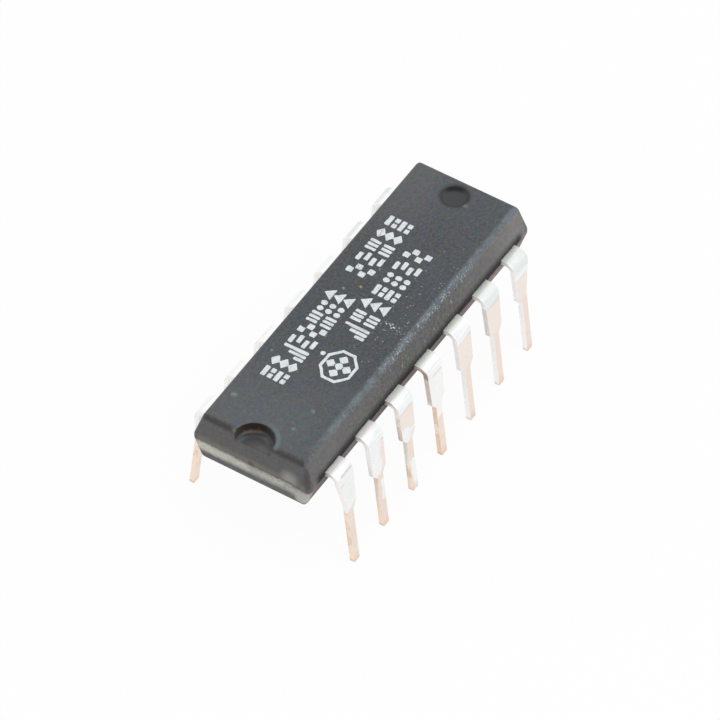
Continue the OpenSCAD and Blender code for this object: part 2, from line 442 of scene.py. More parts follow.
for seed, (name, (first_x, line_y, step, names)) in enumerate(lines_of_print.items()):
    bpy.ops.mesh.primitive_plane_add(size=ink_stroke, location=(first_x, line_y, ink_low))
    line = start(name)
    bpy.ops.mesh.select_mode(type="VERT")
    bpy.ops.mesh.select_all(action="SELECT")
    bpy.ops.mesh.delete(type="VERT")
    for i, figure_name in enumerate(names):
        for dx, dy, *form in figures[figure_name]:
            figure(first_x + i * step + dx, line_y + dy, *form)
    bpy.ops.mesh.select_all(action="SELECT")
    bpy.ops.mesh.subdivide(number_cuts=2)
    bpy.ops.transform.vertex_random(offset=ink_wobble, seed=seed)
    bpy.ops.transform.resize(value=(1, 1, 0), center_override=(0, 0, ink_low - ink_t / 4))
    extrude(z=ink_t * 1.25)
    bpy.ops.mesh.select_all(action="SELECT")
    bpy.ops.mesh.normals_make_consistent(inside=False)
    bpy.ops.object.mode_set(mode="OBJECT")
    measure(line)
    to_metres(line)
    attach(line, "marking_ink")
    marks_of_ink.append(line)

# %% [markdown]
# ## The leads
#
# A lead is stamped from 0.25 mm strip, which leaves flat faces and sheared sides, and then bent down
# where it leaves the body. So it is modelled in that order too. A short strip is spun through the
# bend, which keeps its thickness, and the leg is extruded on from there in steps that narrow it to
# the pin. The end leads of a row have no notch on their outer side: that edge slopes down to the pin.

# %% Sizes of a lead
pitch = 2.54
row_pins = 7
row_span = 7.75
splay = math.radians(6.4)
bend_r = 0.5
bend_steps = 10
anchor_l = 0.6
shoulder_w, pin_w, tip_bevel = 1.2, 0.46, 0.05
bend_y = row_span / 2 - bend_r * math.tan(math.radians(45) - splay / 2)
root_y = body_w / 2 - anchor_l
# Height above the tips, and how far the edge lies from the lead's middle there: an inner edge with its
# notch, and the sloping outer edge of an end lead
inner_edge = ((3.575, 0.525), (3.225, pin_w / 2), (tip_bevel, pin_w / 2), (0, pin_w / 2 - tip_bevel))
outer_edge = ((5.425, shoulder_w / 2), (3.675, pin_w / 2), (tip_bevel, pin_w / 2), (0, pin_w / 2 - tip_bevel))


def edge_at(edge, z):
    """How far the edge lies from the lead's middle at this height."""
    above = (frame_low, shoulder_w / 2)
    for point in edge:
        if z >= point[0]:
            part = (above[0] - z) / (above[0] - point[0])
            return above[1] + part * (point[1] - above[1])
        above = point
    return edge[-1][1]


# %% [markdown]
# The leg is one long extrusion in steps. At each height where an edge changes direction, the end face
# is pulled there along the splayed leg and then stretched and shifted so that its two sides lie on the
# two edges. The last face is pressed flat, because the pins are cut off level.

# %% Model the strip, the bend and the leg
def model_leg(name, x, right_edge):
    """A lead from its anchor to its tip. Its +X side follows right_edge, its -X side the inner edge."""
    bpy.ops.mesh.primitive_cube_add(
        size=1, location=(x, -(root_y + bend_y) / 2, frame_low + lead_t / 2),
        scale=(shoulder_w, bend_y - root_y, lead_t),
    )
    lead = start(name)
    pick(lambda middle, normal: normal.y < -FACING)
    bend_centre = Vector((x, -bend_y, frame_top - bend_r))
    turn = math.radians(90) - splay
    bpy.ops.mesh.spin(steps=bend_steps, angle=-turn, center=bend_centre, axis=(1, 0, 0))
    mid_r = bend_r - lead_t / 2
    z = bend_centre.z + mid_r * math.sin(splay)
    left, right = shoulder_w / 2, shoulder_w / 2
    for level in sorted({point[0] for point in inner_edge + right_edge}, reverse=True):
        extrude(y=-(z - level) * math.tan(splay), z=level - z)
        new_left, new_right = edge_at(inner_edge, level), edge_at(right_edge, level)
        centre = Vector((x + (right - left) / 2, 0, level))
        stretch = (new_left + new_right) / (left + right)
        bpy.ops.transform.resize(value=(stretch, 1, 1), center_override=centre)
        bpy.ops.transform.translate(value=((new_right - new_left - right + left) / 2, 0, 0))
        z, left, right = level, new_left, new_right
    bpy.ops.transform.resize(value=(1, 1, 0), center_override=(x, 0, 0))
    return lead


# %% [markdown]
# Inside the body a narrow finger runs from each lead towards the chip. Nobody sees it, but a lead that
# stopped at the epoxy would fall out, so it is modelled as well. Its end face is extruded from corner
# to corner of its route. At each corner the face turns to the mitre, half way between the two
# directions, and widens a little so that the finger keeps its width round the corner.

# %% Run the finger in to the chip
finger_w = 0.36
neck_run = 0.04
# Corners of the fingers' routes, from the lead in to the chip, for the middle lead and the next three
finger_routes = (
    ((0, -1.5),),
    ((2.54, -2.275), (1.1, -1.8), (1.1, -1.5)),
    ((5.08, -2.225), (2.7, -1.0), (2.2, -1.0)),
    ((7.62, -1.525), (5.32, -0.5), (2.2, -0.5)),
)


def mitre(before, at, after):
    """Direction and length of the finger's half width at a corner of its route."""
    way_in, way_out = (at - before).normalized(), (after - at).normalized()
    along = (way_in + way_out).normalized()
    return math.atan2(along.y, along.x), 1 / along.dot(way_in)


def model_finger(x, route):
    """Extrude the finger inwards from the lead's root."""
    pick(lambda middle, normal: normal.y > FACING and middle.y > -root_y - 0.01)
    extrude(y=neck_run)
    bpy.ops.transform.resize(value=(finger_w / shoulder_w, 1, 1), center_override=(x, 0, 0))
    points = [Vector((x, neck_run - root_y))] + [Vector(corner) for corner in route]
    facing, width = math.radians(90), 1
    for i in range(1, len(points)):
        at, after = points[i], points[min(i + 1, len(points) - 1)]
        step = at - points[i - 1]
        extrude(step.x, step.y)
        if after != at:
            new_facing, new_width = mitre(points[i - 1], at, after)
        else:
            new_facing, new_width = math.atan2(step.y, step.x), 1
        here = (at.x, at.y, frame_low)
        bpy.ops.transform.rotate(value=facing - new_facing, orient_axis="Z", center_override=here)
        bpy.ops.transform.resize(value=(new_width / width, new_width / width, 1), center_override=here)
        facing, width = new_facing, new_width


# %% [markdown]
# Punching pulls the strip's edges a little round, and a rounded edge is what makes thin metal look like
# metal, so a bevel modifier goes over every sharp edge. The sides that the punch sheared have a finish of
# their own: they get a second material slot, picked by the way those faces point. Both materials are
# only named here and get their nodes further down.

# %% Finish a lead and sort its faces into plated and sheared ones
punch_round = 0.03
lead_smooth = 50
plating = bpy.data.materials.new("tin_plating")
sheared = bpy.data.materials.new("sheared_edge")


def model_lead(number, index):
    """The lead that is index places from the middle of its row, on the -Y side."""
    x = index * pitch
    last = index == (row_pins - 1) // 2
    lead = model_leg(f"plated_lead_{number}", x, outer_edge if last else inner_edge)
    model_finger(x, finger_routes[index])
    bpy.ops.mesh.select_all(action="SELECT")
    bpy.ops.mesh.normals_make_consistent(inside=False)
    bpy.ops.object.mode_set(mode="OBJECT")
    rounded = lead.modifiers.new("punched edges", "BEVEL")
    rounded.width = punch_round
    rounded.segments = 2
    rounded.angle_limit = math.radians(40)
    bpy.ops.object.modifier_apply(modifier=rounded.name)
    smooth(lead, lead_smooth)
    lead.data.materials.append(plating)
    lead.data.materials.append(sheared)
    bpy.ops.object.mode_set(mode="EDIT")
    pick(lambda middle, normal: abs(normal.x) > 0.3 or normal.z < -FACING and middle.z < tip_bevel)
    lead.active_material_index = 1
    bpy.ops.object.material_slot_assign()
    bpy.ops.object.mode_set(mode="OBJECT")
    to_metres(lead)
    return lead


# %% [markdown]
# A row is the same on both sides of its middle lead, and the two rows are the same turned half way
# round. So four leads are modelled, three of them are mirrored to fill the row, and the whole row is
# turned for the other side. A mirrored mesh is inside out until its normals are worked out again.

# %% Copy the leads round the body
def copy_of(piece, name, scale_x=1, turn=0):
    """A copy with its own mesh, mirrored or turned, with that put into its mesh."""
    only(piece)
    bpy.ops.object.duplicate()
    twin = bpy.context.object
    twin.name = name
    twin.scale = (scale_x, 1, 1)
    twin.rotation_euler = (0, 0, turn)
    bpy.ops.object.transform_apply(location=True, rotation=True, scale=True)
    if scale_x < 0:
        bpy.ops.object.mode_set(mode="EDIT")
        bpy.ops.mesh.select_all(action="SELECT")
        bpy.ops.mesh.normals_make_consistent(inside=False)
        bpy.ops.object.mode_set(mode="OBJECT")
        bpy.ops.mesh.customdata_custom_splitnormals_clear()
        smooth(twin, lead_smooth)
    return twin


leads = {}
middle_lead = (row_pins + 1) // 2
for index in range(middle_lead):
    leads[middle_lead + index] = model_lead(middle_lead + index, index)
    if index:
        mirrored = middle_lead - index
        leads[mirrored] = copy_of(leads[middle_lead + index], f"plated_lead_{mirrored}", scale_x=-1)
for number in range(1, row_pins + 1):
    opposite = number + row_pins
    leads[opposite] = copy_of(leads[number], f"plated_lead_{opposite}", turn=math.pi)
for number, lead in sorted(leads.items()):
    attach(lead, "tinned_lead", f"lead_{number}")
measure(leads[middle_lead])
measure(leads[1])

# %% [markdown]
# ## Shader helpers
#
# Every finish below is made of nodes. One helper adds a node and fills its sockets, with a value or a
# link, and the others stand for the nodes that come back most: a mix of two colours, a soft step, a
# sum, a noise. With them a material reads from top to bottom like a recipe.

# %% Helpers for node trees
def add(tree, kind, sockets=None, **settings):
    """Add a node, set its options and fill its sockets with values or links."""
    node = tree.nodes.new("ShaderNode" + kind)
    for name, value in settings.items():
        setattr(node, name, value)
    for name, value in (sockets or {}).items():
        if isinstance(value, bpy.types.NodeSocket):
            tree.links.new(value, node.inputs[name])
        else:
            node.inputs[name].default_value = value
    return node


def linear(red, green, blue):
    """A colour given as it looks on screen, 0 to 255, as the shader wants it."""
    def one(value):
        share = value / 255
        return share / 12.92 if share <= 0.04045 else ((share + 0.055) / 1.055) ** 2.4
    return one(red), one(green), one(blue), 1


def mix(tree, factor, a, b, how="MIX"):
    """Mix two colours, or lay the second over the first."""
    node = add(tree, "Mix", {0: factor, 6: a, 7: b}, data_type="RGBA", blend_type=how)
    return node.outputs[2]


def ramp(tree, value, low, high, to_low=0.0, to_high=1.0):
    """A soft step from one value to another."""
    values = {0: value, 1: low, 2: high, 3: to_low, 4: to_high}
    return add(tree, "MapRange", values, interpolation_type="SMOOTHSTEP").outputs[0]


def math_node(tree, operation, a, b=0.0):
    """Two numbers worked out together."""
    return add(tree, "Math", {0: a, 1: b}, operation=operation).outputs[0]


def vector_math(tree, operation, a, b=(0, 0, 0)):
    """Two places worked out together. A length and a dot product come out as a number."""
    node = add(tree, "VectorMath", {0: a, 1: b}, operation=operation)
    return node.outputs["Value" if operation in ("LENGTH", "DOT_PRODUCT") else "Vector"]


def noise(tree, place, scale, detail=2.0, roughness=0.5, distortion=0.0):
    """The outputs of a cloudy noise: Fac is its height, Color is three noises at once."""
    shape = {"Scale": scale, "Detail": detail, "Roughness": roughness, "Distortion": distortion}
    return add(tree, "TexNoise", {"Vector": place, **shape}).outputs


def millimetres(tree):
    """The place on the piece, in millimetres."""
    place = add(tree, "TexCoord").outputs["Object"]
    return add(tree, "Mapping", {"Vector": place, "Scale": (1 / MM, 1 / MM, 1 / MM)}).outputs[0]


def new_group(name, inputs, outputs):
    """An empty node group with these sockets, its tree and its two end nodes."""
    tree = bpy.data.node_groups.new(name, "ShaderNodeTree")
    for label, kind, value in inputs:
        socket = tree.interface.new_socket(label, in_out="INPUT", socket_type="NodeSocket" + kind)
        socket.default_value = value
    for label, kind in outputs:
        tree.interface.new_socket(label, in_out="OUTPUT", socket_type="NodeSocket" + kind)
    return tree, tree.nodes.new("NodeGroupInput").outputs, tree.nodes.new("NodeGroupOutput").inputs


def use(tree, group, sockets):
    """Place a group in a material with its own values, and return its outputs."""
    return add(tree, "Group", sockets, node_tree=group).outputs


def finish_for(material, **values):
    """A Principled shader in an emptied material, with its plain values set on its own sockets."""
    material.use_nodes = True
    tree = material.node_tree
    tree.nodes.clear()
    shader = add(tree, "BsdfPrincipled", values)
    add(tree, "OutputMaterial", {"Surface": shader.outputs[0]})
    return tree, shader.inputs


# %% [markdown]
# ## Shared effects
#
# Four effects come back again and again, so each is a node group. "zone" is a soft-edged box that
# says where a stain or a tone lies, and "ring" is a soft ring round an upright axis. "grain" is the fine,
# sandy tone and relief that a spark-eroded mould leaves. "specks" scatters small dots, for dust, chips
# and pinholes.

# %% The zone group
zone, given, result = new_group(
    "zone",
    [("Place", "Vector", (0, 0, 0)), ("Middle", "Vector", (0, 0, 0)), ("Half size", "Vector", (1, 1, 1)),
     ("Softness", "Float", 0.1)],
    [("Inside", "Float")],
)
away = vector_math(zone, "SUBTRACT", given["Place"], given["Middle"])
away = vector_math(zone, "SUBTRACT", vector_math(zone, "ABSOLUTE", away), given["Half size"])
distance = vector_math(zone, "LENGTH", vector_math(zone, "MAXIMUM", away))
zone.links.new(ramp(zone, distance, 0.0, given["Softness"], 1.0, 0.0), result["Inside"])


def within(tree, place, middle, half, softness):
    """How far a place lies in a soft-edged box: one inside it, nought well outside."""
    values = {"Place": place, "Middle": middle, "Half size": half, "Softness": softness}
    return use(tree, zone, values)["Inside"]


# %% The ring group
ring, given, result = new_group(
    "ring",
    [("Place", "Vector", (0, 0, 0)), ("Axis", "Vector", (0, 0, 0)), ("Radius", "Float", 1),
     ("Half width", "Float", 0.05), ("Softness", "Float", 0.05)],
    [("On", "Float")],
)
away = vector_math(ring, "SUBTRACT", given["Place"], given["Axis"])
distance = vector_math(ring, "LENGTH", vector_math(ring, "MULTIPLY", away, (1, 1, 0)))
off = math_node(ring, "ABSOLUTE", math_node(ring, "SUBTRACT", distance, given["Radius"]))
off = math_node(ring, "SUBTRACT", off, given["Half width"])
ring.links.new(ramp(ring, off, 0.0, given["Softness"], 1.0, 0.0), result["On"])


def on_ring(tree, place, axis, radius, half, softness):
    """How near a place lies to a ring round an upright axis."""
    values = {"Place": place, "Axis": axis, "Radius": radius, "Half width": half, "Softness": softness}
    return use(tree, ring, values)["On"]


# %% The grain group
grain, given, result = new_group(
    "grain",
    [("Place", "Vector", (0, 0, 0)), ("Fineness", "Float", 14), ("Blotches", "Float", 0.6)],
    [("Tone", "Float"), ("Blotch", "Float"), ("Height", "Float"), ("Tint", "Color")],
)
fine = noise(grain, given["Place"], given["Fineness"], 3.0, 0.7)["Fac"]
broad = noise(grain, given["Place"], given["Blotches"], 4.0, 0.6)["Fac"]
tint = noise(grain, given["Place"], math_node(grain, "MULTIPLY", given["Fineness"], 0.6))["Color"]
pits = add(grain, "TexVoronoi", {"Vector": given["Place"], "Scale": given["Fineness"]}, feature="SMOOTH_F1")
grain.links.new(ramp(grain, fine, 0.25, 0.75), result["Tone"])
grain.links.new(ramp(grain, broad, 0.3, 0.7), result["Blotch"])
grain.links.new(math_node(grain, "ADD", fine, pits.outputs["Distance"]), result["Height"])
grain.links.new(tint, result["Tint"])

# %% The specks group
specks, given, result = new_group(
    "specks",
    [("Place", "Vector", (0, 0, 0)), ("Cells", "Float", 4), ("Share", "Float", 0.1), ("Size", "Float", 0.2)],
    [("Dot", "Float")],
)
cells = add(specks, "TexVoronoi", {"Vector": given["Place"], "Scale": given["Cells"]})
random = add(specks, "SeparateColor", {0: cells.outputs["Color"]}).outputs
chosen = math_node(specks, "LESS_THAN", random[0], given["Share"])
size = math_node(specks, "MULTIPLY", given["Size"], math_node(specks, "ADD", 0.4, random[1]))
near = ramp(specks, cells.outputs["Distance"], math_node(specks, "MULTIPLY", size, 0.4), size, 1.0, 0.0)
specks.links.new(math_node(specks, "MULTIPLY", near, chosen), result["Dot"])


def scatter(tree, place, cells, share, size):
    """Small dots in a share of the cells, of which there are so many to a millimetre."""
    return use(tree, specks, {"Place": place, "Cells": cells, "Share": share, "Size": size})["Dot"]


print("groups:", [group.name for group in bpy.data.node_groups])

# %% [markdown]
# ## The epoxy
#
# Black moulding compound is never black to a camera. It is full of silica, so it is a dull dark grey
# with a sandy, faintly coloured mottle. The top is a little bluer than the sides, and it and the ends are
# darker than the long side as painted shade. The tone first runs from dark to light with the grain, and
# then painted light makes it paler along the chip: the notched end and the far corner are paler than the
# middle, and the long side gets paler to its far end.

# %% The epoxy's tone
epoxy = bpy.data.materials.new("moulding_compound")
tree, shader = finish_for(epoxy)
body.data.materials.append(epoxy)
place = millimetres(tree)
x, y, z = add(tree, "SeparateXYZ", {0: place}).outputs
sand = use(tree, grain, {"Place": place, "Fineness": 8.0, "Blotches": 0.6})


def both(a, b):
    """Where one mask and the other are, or a mask at part of its strength."""
    return math_node(tree, "MULTIPLY", a, b)


def over(base, mask, strength, red, green, blue):
    """One more colour laid over a base where the mask is."""
    return mix(tree, both(mask, strength), base, linear(red, green, blue))


# Painted light: the notched end, the far corner and the far end of the long side are made paler.
near_end, far_end = ramp(tree, x, -1.5, -8.5), ramp(tree, x, 1.5, 9.4)
far_corner = both(far_end, ramp(tree, y, -0.5, 2.5))
top = ramp(tree, z, body_top - 0.17, body_top - 0.04)
# The top is bluer than the sides and, as painted shade, darker.
on_top = mix(tree, sand["Tone"], linear(41, 45, 50), linear(79, 84, 89))
on_top = over(on_top, near_end, ramp(tree, y, -3.0, -1.0, 0.26, 0.5), 97, 101, 104)
on_top = over(on_top, far_end, 0.2, 96, 97, 102)
on_top = over(on_top, far_corner, 0.42, 102, 104, 106)
on_end = ramp(tree, math_node(tree, "ABSOLUTE", x), body_l / 2 - 0.34, body_l / 2 - 0.24)
on_side = mix(tree, sand["Tone"], linear(56, 54, 53), linear(100, 98, 96))
on_side = over(on_side, near_end, 0.5, 104, 103, 102)
on_side = over(on_side, far_end, 0.76, 114, 111, 110)
on_side = over(on_side, ramp(tree, x, 6.5, 9.4), 0.4, 130, 127, 125)
# Painted shade: the ends are darker than the long side.
on_side = over(on_side, on_end, 0.45, 60, 60, 61)
colour = mix(tree, top, on_side, on_top)
colour = mix(tree, 0.5, colour, sand["Tint"], "OVERLAY")
colour = over(colour, sand["Blotch"], 0.2, 94, 98, 101)

# %% [markdown]
# Marks of use and of the mould come next, one thin layer each, with painted shade and light among them.
# Their edges would look drawn if they followed the zones exactly, so most marks are looked up at a place
# that a noise has pushed about. The painted shade and the brown along the parting line are the same on
# both long sides of the chip, so they are looked up with Y made positive.

# %% Helpers that lay marks over the epoxy
ragged_by = 0.22
jitter = vector_math(tree, "SUBTRACT", noise(tree, place, 5.0, 3.0)["Color"], (0.5, 0.5, 0.5))
ragged = vector_math(tree, "ADD", place, vector_math(tree, "MULTIPLY", jitter, (ragged_by,) * 3))
either_side = add(tree, "CombineXYZ", {0: x, 1: math_node(tree, "ABSOLUTE", y), 2: z}).outputs[0]
end_x, side_y = -body_l / 2, body_w / 2


def layer(mask, strength, red, green, blue):
    """Lay one more colour over the finish where the mask is."""
    global colour
    colour = over(colour, mask, strength, red, green, blue)


def stain_and_shade(middle, half, softness, strength, red, green, blue):
    """Lay one more colour over a soft-edged box with a ragged border."""
    layer(within(tree, ragged, middle, half, softness), strength, red, green, blue)


# %% [markdown]
# The halves of the mould meet at the lead frame. Above the leads that line is painted nearly black, as
# the shade of a groove, and below them the side is brown, warmer towards the far end. A thin flash of
# epoxy that was squeezed out between the halves shows paler in places. The first two are zones whose
# borders are made sharper by steps in height.

# %% Parting line along the sides
under_band = within(tree, either_side, (0, side_y, frame_low - 0.35), (9.6, 0.35, 0.3), 0.35)
under_band = both(under_band, ramp(tree, z, frame_low + 0.02, frame_low - 0.08))
layer(under_band, 0.9, 86, 63, 54)
warm_part = both(ramp(tree, x, 1.0, 7.5), ramp(tree, z, frame_low + 0.025, frame_low - 0.725))
layer(both(under_band, warm_part), 0.9, 152, 124, 109)
# Painted shade: the band above the leads is made nearly black.
groove_shade = within(tree, either_side, (0, side_y, frame_top), (8.6, 0.4, 0.5), 0.5)
groove_shade = both(groove_shade, ramp(tree, z, frame_top + 0.455, frame_top - 0.045))
groove_shade = both(groove_shade, ramp(tree, z, frame_low - 0.035, frame_low + 0.075))
layer(groove_shade, 0.84, 2, 2, 2)
flash = within(tree, ragged, (0, -side_y, frame_low - 0.02), (9.4, 0.3, 0.01), 0.05)
layer(both(flash, ramp(tree, sand["Blotch"], 0.3, 0.8)), 0.7, 150, 138, 134)

# %% [markdown]
# The notched end has painted dark fringes at its top edge and at its near corner, which the epoxy itself
# doesn't have, and a pale rubbed band with a smudge along the parting line. The broken gate shows the grey
# of fresh epoxy. Its scar is a streak along the end that rises towards the near corner, so it is looked up
# at a place that is lifted there. It is unevenly pale, and brown flash and a few brown spots lie along its
# upper border.

# %% Dark edges, scar and spots of the notched end
# Painted dark fringes along the end's top edge and near corner.
stain_and_shade((end_x + 0.2, 0, body_top - 0.08), (0.05, 2.6, 0.07), 0.24, 0.85, 46, 40, 36)
stain_and_shade((end_x + 0.13, -2.95, body_top - 0.65), (0.03, 0.03, 0.75), 0.24, 0.7, 54, 48, 45)
stain_and_shade((end_x, 0, frame_top - 0.045), (0.2, 2.8, 0.06), 0.22, 0.75, 107, 104, 97)
stain_and_shade((end_x, -2.05, frame_top + 0.125), (0.2, 0.05, 0.02), 0.6, 0.85, 146, 145, 139)
lift = add(tree, "CombineXYZ", {2: both(ramp(tree, y, -1.9, -2.9), 0.32)}).outputs[0]
lifted = vector_math(tree, "ADD", ragged, lift)
scar = within(tree, lifted, (end_x, 0, gate_z), (0.15, 2.75, 0.0), 0.52)
corner_scar = within(tree, ragged, (end_x, -2.75, frame_low - 0.575), (0.15, 0.2, 0.25), 0.35)
scar = math_node(tree, "MAXIMUM", scar, corner_scar)
layer(scar, 0.95, 162, 162, 155)
layer(both(scar, ramp(tree, sand["Blotch"], 0.1, 0.7)), 0.5, 204, 203, 195)
layer(both(scar, ramp(tree, y, 0.0, 1.6, 0.15, 0.55)), 1.0, 210, 210, 198)
layer(corner_scar, 0.6, 176, 176, 170)
stain_and_shade((end_x, 0.2, frame_low + 0.09), (0.1, 2.8, 0.0), 0.12, 0.6, 88, 64, 60)
for spot_y in (0.69, -0.49, -1.4):
    stain_and_shade((end_x, spot_y, frame_low + 0.07), (0.1, 0.05, 0.0), 0.13, 0.6, 112, 66, 60)
stain_and_shade((end_x, 1.0, gate_z), (0.1, 0.05, 0.03), 0.2, 0.7, 184, 182, 174)

# %% [markdown]
# The walls of the notch and of the round mark are darkened with painted shade, most of all on the far
# side, and so are the notch's floor towards that side and the inside of the mark. That is a direction, so it
# is a dot product of the way from the dent's axis with the way to its far side. At the foot of the notch's
# dark wall a painted warm glint and a pale line show, and a painted highlight, another pale line, lies just
# outside its rim.

# %% Notch and round mark
far_way = (0.85, 0.53, 0)


def to_far_side(axis, low, high):
    """A soft step from the near side of a dent to its far side."""
    along = vector_math(tree, "DOT_PRODUCT", vector_math(tree, "SUBTRACT", place, axis), far_way)
    return ramp(tree, along, low, high)


notch_axis, mark_axis = (notch_x, 0, 0), (mark_x, mark_y, 0)
below_top = ramp(tree, z, ink_low - 0.01, ink_low - 0.1)
in_depth = both(below_top, ramp(tree, z, notch_floor - 0.06, notch_floor - 0.01))
# Painted shade on the notch's floor, darkest towards its far wall.
notch_floor_shade = both(on_ring(tree, place, notch_axis, 0, notch_r, 0.04), in_depth)
layer(both(notch_floor_shade, to_far_side(notch_axis, -0.35, 0.45)), 0.85, 52, 51, 55)
# Painted shade on the notch's far wall.
wall = both(on_ring(tree, place, notch_axis, notch_r, 0.05, 0.05), in_depth)
wall = both(wall, ramp(tree, z, notch_floor - 0.02, notch_floor + 0.22))
wall = both(wall, to_far_side(notch_axis, 0.45, 0.95))
layer(wall, 1.0, 38, 21, 15)
toe = both(on_ring(tree, place, notch_axis, notch_r - 0.26, 0.02, 0.18), in_depth)
toe = both(toe, both(to_far_side(notch_axis, 0.05, 0.35), to_far_side(notch_axis, 0.75, 0.5)))
layer(toe, 0.6, 98, 110, 108)
# A painted warm glint at the foot of the notch's wall.
glint = both(on_ring(tree, ragged, notch_axis, notch_r - 0.12, 0.02, 0.08), in_depth)
glint = both(glint, to_far_side(notch_axis, 0.6, 0.85))
layer(both(glint, ramp(tree, y, -0.1, 0.3)), 0.5, 96, 84, 52)
# A painted highlight just outside the notch's rim.
rim_highlight = both(on_ring(tree, place, notch_axis, notch_r + 0.13, 0.02, 0.15), top)
layer(both(rim_highlight, ramp(tree, y, 0.6, -0.8)), 0.6, 104, 120, 118)
# Painted shade inside the round mark and, darker still, on its far wall.
mark_shade = on_ring(tree, place, mark_axis, 0, mark_r - 0.1, 0.26)
layer(both(mark_shade, ramp(tree, z, body_top - 0.4, body_top - 0.3)), 0.9, 42, 46, 48)
far_wall_shade = both(on_ring(tree, place, mark_axis, mark_r - 0.1, 0.1, 0.16), below_top)
far_wall_shade = both(far_wall_shade, to_far_side(mark_axis, 0.2, 0.6))
layer(far_wall_shade, 0.9, 28, 30, 30)

# %% [markdown]
# The long edge nearest the camera has been rubbed: a bluish band, partly wear and partly a painted
# highlight on the edge's rounding, full of tiny pale chips, which are thickest in the middle of the edge
# and thin out over the top, and a short trail of them runs inwards.
# Chips are specks looked up at a flat place, so that they don't stretch where the edge turns down.

# %% Rubbed edge with a painted highlight, and chips
flat_place = add(tree, "CombineXYZ", {0: x, 1: y}).outputs[0]
edge_y = upper_side_lean - side_y
# The rubbed band is partly wear and partly a painted highlight on the edge's rounding.
rubbed_and_sheen = within(tree, ragged, (0, edge_y + 0.11, body_top), (9.2, 0.03, 0.1), 0.22)
cloudy = noise(tree, place, 1.6, 6.0, 0.75)["Fac"]
wear_and_sheen = both(ramp(tree, cloudy, 0.2, 0.64), ramp(tree, x, -9.4, -6.5))
layer(both(rubbed_and_sheen, wear_and_sheen), 0.9, 110, 120, 125)
busy = within(tree, place, (1.3, edge_y, body_top), (2.6, 3.0, 1), 1.8)
at_edge = within(tree, ragged, (0, edge_y + 0.04, body_top), (8.8, 0.08, 0.14), 0.16)
chips = both(scatter(tree, flat_place, 15.0, 0.6, 0.55), at_edge)
layer(both(chips, math_node(tree, "ADD", both(busy, 0.7), 0.2)), 1, 166, 180, 187)
spread = within(tree, place, (0.6, -2.1, body_top), (3.0, 0.7, 0.2), 1.5)
layer(both(scatter(tree, flat_place, 11.0, 0.14, 0.4), spread), 0.75, 170, 178, 180)
trail = within(tree, ragged, (-0.17, -1.7, body_top), (0.05, 0.5, 0.1), 0.14)
layer(both(scatter(tree, flat_place, 9.0, 0.8, 0.5), trail), 0.95, 224, 228, 228)
layer(both(scatter(tree, flat_place, 1.6, 0.3, 0.09), top), 0.5, 122, 136, 136)

# %% [markdown]
# The larger flecks can't be left to chance, because they are seen one by one. So each is named, with
# its place on the top, its size and its colour.

# %% Flecks on the top
flecks = (
    (1.11, 0.81, 0.09, (220, 160, 110)), (0.61, 1.43, 0.1, (150, 186, 168)),
    (2.49, 0.66, 0.09, (170, 140, 148)), (-7.51, 2.21, 0.2, (122, 138, 138)),
    (-6.44, -1.38, 0.17, (112, 124, 126)), (-7.81, -1.23, 0.18, (112, 122, 120)),
    (7.99, -0.62, 0.2, (106, 110, 114)), (-4.35, 2.2, 0.1, (128, 134, 132)),
    (-2.3, 0.55, 0.08, (150, 162, 162)), (-9.3, 1.08, 0.2, (112, 114, 88)),
    (4.49, -2.39, 0.1, (126, 108, 84)), (3.91, -0.5, 0.12, (104, 98, 106)),
    (-4.29, 2.8, 0.14, (136, 144, 142)), (5.06, -0.11, 0.16, (94, 82, 82)),
)
for fleck_x, fleck_y, size, tone in flecks:
    stain_and_shade((fleck_x, fleck_y, ink_low), (0, 0, 0.05), size, 0.85, *tone)
tree.links.new(colour, shader["Base Color"])
print("flecks:", len(flecks))

# %% [markdown]
# The relief is the grain of the mould, with the coarser break of the gate's scar on top. The rubbed
# edge and the places painted with shade shine less.

# %% The epoxy's relief and shine
broken = both(both(noise(tree, place, 7.0, 4.0, 0.7)["Fac"], scar), 6.0)
height = math_node(tree, "ADD", sand["Height"], broken)
rough = add(tree, "Bump", {"Strength": 0.5, "Distance": 0.00001, "Height": height})
tree.links.new(rough.outputs[0], shader["Normal"])
shaded_places = math_node(tree, "MAXIMUM", groove_shade, math_node(tree, "MAXIMUM", wall, far_wall_shade))
dull = math_node(tree, "ADD", both(rubbed_and_sheen, 0.1), both(shaded_places, 0.5))
tree.links.new(math_node(tree, "ADD", ramp(tree, sand["Blotch"], 0, 1, 0.5, 0.6), dull), shader["Roughness"])

# %% [markdown]
# ## The ink
#
# The ink is off-white and matt. It is thin where the surface under it is rough, so dark pinholes show
# in the middle of the print.

# %% Stamped ink
ink = bpy.data.materials.new("stamped_ink")
tree, shader = finish_for(ink)
place = millimetres(tree)
cloud = use(tree, grain, {"Place": place, "Fineness": 6.0, "Blotches": 1.2})
colour = mix(tree, cloud["Tone"], linear(206, 214, 216), linear(238, 243, 244))
colour = mix(tree, 0.25, colour, cloud["Tint"], "OVERLAY")
worn = within(tree, place, (0.2, -0.2, body_top), (1.6, 1.9, 0.5), 1.2)
layer(both(scatter(tree, place, 9.0, 0.32, 0.34), worn), 0.75, 120, 126, 130)
tree.links.new(colour, shader["Base Color"])
tree.links.new(ramp(tree, cloud["Blotch"], 0, 1, 0.55, 0.7), shader["Roughness"])
film = add(tree, "Bump", {"Strength": 0.4, "Distance": 0.00001, "Height": cloud["Height"]})
tree.links.new(film.outputs[0], shader["Normal"])
for line in marks_of_ink:
    line.data.materials.append(ink)

